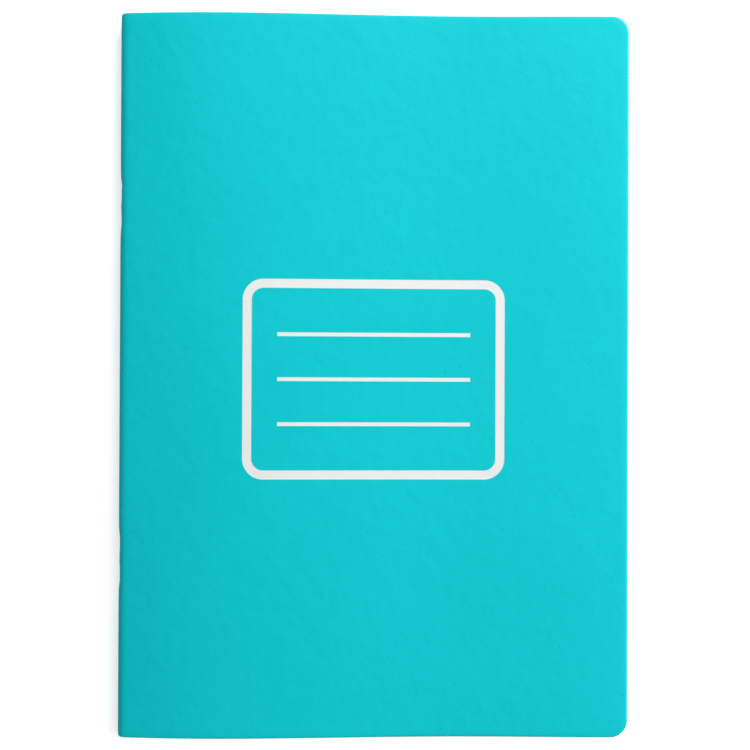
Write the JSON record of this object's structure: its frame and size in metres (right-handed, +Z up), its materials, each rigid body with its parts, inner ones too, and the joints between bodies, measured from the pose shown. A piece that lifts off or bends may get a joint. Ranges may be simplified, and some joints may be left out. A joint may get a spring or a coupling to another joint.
{
  "type": "notebook",
  "caption": "Soft-covered notebook with rounded outer corners, its folded sheets of writing paper held by wire staples through the spine; it opens at the fold.",
  "frame": {"origin": "centre of the underside of the notebook's bounding box, where the back cover rests", "axes": "+X from the spine to the fore-edge, +Y from the foot to the head of the page, +Z up out of the front cover"},
  "size_m": [0.1491, 0.21, 0.008],
  "materials": {
    "cover": "soft imitation leather, matt, very fine grain, turquoise",
    "paper": "smooth uncoated writing paper, off-white, faintly ruled",
    "staple_wire": "drawn and galvanised round wire, satin"
  },
  "bodies": {
    "back_half": {"cover_back_panel_and_spine": "cover", "sheet_01_back_leaf_and_fold": "paper", "sheet_02_back_leaf_and_fold": "paper", "sheet_03_back_leaf_and_fold": "paper", "sheet_04_back_leaf_and_fold": "paper", "sheet_05_back_leaf_and_fold": "paper", "sheet_06_back_leaf_and_fold": "paper", "sheet_07_back_leaf_and_fold": "paper", "sheet_08_back_leaf_and_fold": "paper", "sheet_09_back_leaf_and_fold": "paper", "sheet_10_back_leaf_and_fold": "paper", "sheet_11_back_leaf_and_fold": "paper", "sheet_12_back_leaf_and_fold": "paper", "sheet_13_back_leaf_and_fold": "paper", "sheet_14_back_leaf_and_fold": "paper", "sheet_15_back_leaf_and_fold": "paper", "sheet_16_back_leaf_and_fold": "paper", "sheet_17_back_leaf_and_fold": "paper", "sheet_18_back_leaf_and_fold": "paper", "sheet_19_back_leaf_and_fold": "paper", "sheet_20_back_leaf_and_fold": "paper", "staple_head": "staple_wire", "staple_foot": "staple_wire"},
    "front_cover": {"cover_front_panel": "cover"},
    "sheet_01_front": {"sheet_01_front_leaf": "paper"},
    "sheet_02_front": {"sheet_02_front_leaf": "paper"},
    "sheet_03_front": {"sheet_03_front_leaf": "paper"},
    "sheet_04_front": {"sheet_04_front_leaf": "paper"},
    "sheet_05_front": {"sheet_05_front_leaf": "paper"},
    "sheet_06_front": {"sheet_06_front_leaf": "paper"},
    "sheet_07_front": {"sheet_07_front_leaf": "paper"},
    "sheet_08_front": {"sheet_08_front_leaf": "paper"},
    "sheet_09_front": {"sheet_09_front_leaf": "paper"},
    "sheet_10_front": {"sheet_10_front_leaf": "paper"},
    "sheet_11_front": {"sheet_11_front_leaf": "paper"},
    "sheet_12_front": {"sheet_12_front_leaf": "paper"},
    "sheet_13_front": {"sheet_13_front_leaf": "paper"},
    "sheet_14_front": {"sheet_14_front_leaf": "paper"},
    "sheet_15_front": {"sheet_15_front_leaf": "paper"},
    "sheet_16_front": {"sheet_16_front_leaf": "paper"},
    "sheet_17_front": {"sheet_17_front_leaf": "paper"},
    "sheet_18_front": {"sheet_18_front_leaf": "paper"},
    "sheet_19_front": {"sheet_19_front_leaf": "paper"},
    "sheet_20_front": {"sheet_20_front_leaf": "paper"}
  },
  "joints": [
    {"name": "cover_fold", "type": "hinge", "parent": "back_half", "child": "front_cover", "pos_m": [-0.0713, 0, 0.00325], "axis": [0, -1, 0], "range_deg": [0, 174]},
    {"name": "sheet_01_fold", "type": "hinge", "parent": "back_half", "child": "sheet_01_front", "pos_m": [-0.0713, 0, 0.00325], "axis": [0, -1, 0], "range_deg": [0, 173.57]},
    {"name": "sheet_02_fold", "type": "hinge", "parent": "back_half", "child": "sheet_02_front", "pos_m": [-0.0713, 0, 0.00325], "axis": [0, -1, 0], "range_deg": [0, 173.14]},
    {"name": "sheet_03_fold", "type": "hinge", "parent": "back_half", "child": "sheet_03_front", "pos_m": [-0.0713, 0, 0.00325], "axis": [0, -1, 0], "range_deg": [0, 172.71]},
    {"name": "sheet_04_fold", "type": "hinge", "parent": "back_half", "child": "sheet_04_front", "pos_m": [-0.0713, 0, 0.00325], "axis": [0, -1, 0], "range_deg": [0, 172.27]},
    {"name": "sheet_05_fold", "type": "hinge", "parent": "back_half", "child": "sheet_05_front", "pos_m": [-0.0713, 0, 0.00325], "axis": [0, -1, 0], "range_deg": [0, 171.84]},
    {"name": "sheet_06_fold", "type": "hinge", "parent": "back_half", "child": "sheet_06_front", "pos_m": [-0.0713, 0, 0.00325], "axis": [0, -1, 0], "range_deg": [0, 171.4]},
    {"name": "sheet_07_fold", "type": "hinge", "parent": "back_half", "child": "sheet_07_front", "pos_m": [-0.0713, 0, 0.00325], "axis": [0, -1, 0], "range_deg": [0, 170.97]},
    {"name": "sheet_08_fold", "type": "hinge", "parent": "back_half", "child": "sheet_08_front", "pos_m": [-0.0713, 0, 0.00325], "axis": [0, -1, 0], "range_deg": [0, 170.53]},
    {"name": "sheet_09_fold", "type": "hinge", "parent": "back_half", "child": "sheet_09_front", "pos_m": [-0.0713, 0, 0.00325], "axis": [0, -1, 0], "range_deg": [0, 170.09]},
    {"name": "sheet_10_fold", "type": "hinge", "parent": "back_half", "child": "sheet_10_front", "pos_m": [-0.0713, 0, 0.00325], "axis": [0, -1, 0], "range_deg": [0, 169.66]},
    {"name": "sheet_11_fold", "type": "hinge", "parent": "back_half", "child": "sheet_11_front", "pos_m": [-0.0713, 0, 0.00325], "axis": [0, -1, 0], "range_deg": [0, 169.22]},
    {"name": "sheet_12_fold", "type": "hinge", "parent": "back_half", "child": "sheet_12_front", "pos_m": [-0.0713, 0, 0.00325], "axis": [0, -1, 0], "range_deg": [0, 168.79]},
    {"name": "sheet_13_fold", "type": "hinge", "parent": "back_half", "child": "sheet_13_front", "pos_m": [-0.0713, 0, 0.00325], "axis": [0, -1, 0], "range_deg": [0, 168.35]},
    {"name": "sheet_14_fold", "type": "hinge", "parent": "back_half", "child": "sheet_14_front", "pos_m": [-0.0713, 0, 0.00325], "axis": [0, -1, 0], "range_deg": [0, 167.92]},
    {"name": "sheet_15_fold", "type": "hinge", "parent": "back_half", "child": "sheet_15_front", "pos_m": [-0.0713, 0, 0.00325], "axis": [0, -1, 0], "range_deg": [0, 167.48]},
    {"name": "sheet_16_fold", "type": "hinge", "parent": "back_half", "child": "sheet_16_front", "pos_m": [-0.0713, 0, 0.00325], "axis": [0, -1, 0], "range_deg": [0, 167.05]},
    {"name": "sheet_17_fold", "type": "hinge", "parent": "back_half", "child": "sheet_17_front", "pos_m": [-0.0713, 0, 0.00325], "axis": [0, -1, 0], "range_deg": [0, 166.61]},
    {"name": "sheet_18_fold", "type": "hinge", "parent": "back_half", "child": "sheet_18_front", "pos_m": [-0.0713, 0, 0.00325], "axis": [0, -1, 0], "range_deg": [0, 166.18]},
    {"name": "sheet_19_fold", "type": "hinge", "parent": "back_half", "child": "sheet_19_front", "pos_m": [-0.0713, 0, 0.00325], "axis": [0, -1, 0], "range_deg": [0, 165.75]},
    {"name": "sheet_20_fold", "type": "hinge", "parent": "back_half", "child": "sheet_20_front", "pos_m": [-0.0713, 0, 0.00325], "axis": [0, -1, 0], "range_deg": [0, 165.31]}
  ],
  "couplings": [
    {"joint": "sheet_01_fold", "follows": "cover_fold", "ratio": 0.9975},
    {"joint": "sheet_02_fold", "follows": "cover_fold", "ratio": 0.995},
    {"joint": "sheet_03_fold", "follows": "cover_fold", "ratio": 0.9925},
    {"joint": "sheet_04_fold", "follows": "cover_fold", "ratio": 0.99},
    {"joint": "sheet_05_fold", "follows": "cover_fold", "ratio": 0.9875},
    {"joint": "sheet_06_fold", "follows": "cover_fold", "ratio": 0.985},
    {"joint": "sheet_07_fold", "follows": "cover_fold", "ratio": 0.9825},
    {"joint": "sheet_08_fold", "follows": "cover_fold", "ratio": 0.98},
    {"joint": "sheet_09_fold", "follows": "cover_fold", "ratio": 0.9775},
    {"joint": "sheet_10_fold", "follows": "cover_fold", "ratio": 0.975},
    {"joint": "sheet_11_fold", "follows": "cover_fold", "ratio": 0.9725},
    {"joint": "sheet_12_fold", "follows": "cover_fold", "ratio": 0.97},
    {"joint": "sheet_13_fold", "follows": "cover_fold", "ratio": 0.9675},
    {"joint": "sheet_14_fold", "follows": "cover_fold", "ratio": 0.965},
    {"joint": "sheet_15_fold", "follows": "cover_fold", "ratio": 0.9625},
    {"joint": "sheet_16_fold", "follows": "cover_fold", "ratio": 0.96},
    {"joint": "sheet_17_fold", "follows": "cover_fold", "ratio": 0.9575},
    {"joint": "sheet_18_fold", "follows": "cover_fold", "ratio": 0.955},
    {"joint": "sheet_19_fold", "follows": "cover_fold", "ratio": 0.9525},
    {"joint": "sheet_20_fold", "follows": "cover_fold", "ratio": 0.95}
  ]
}
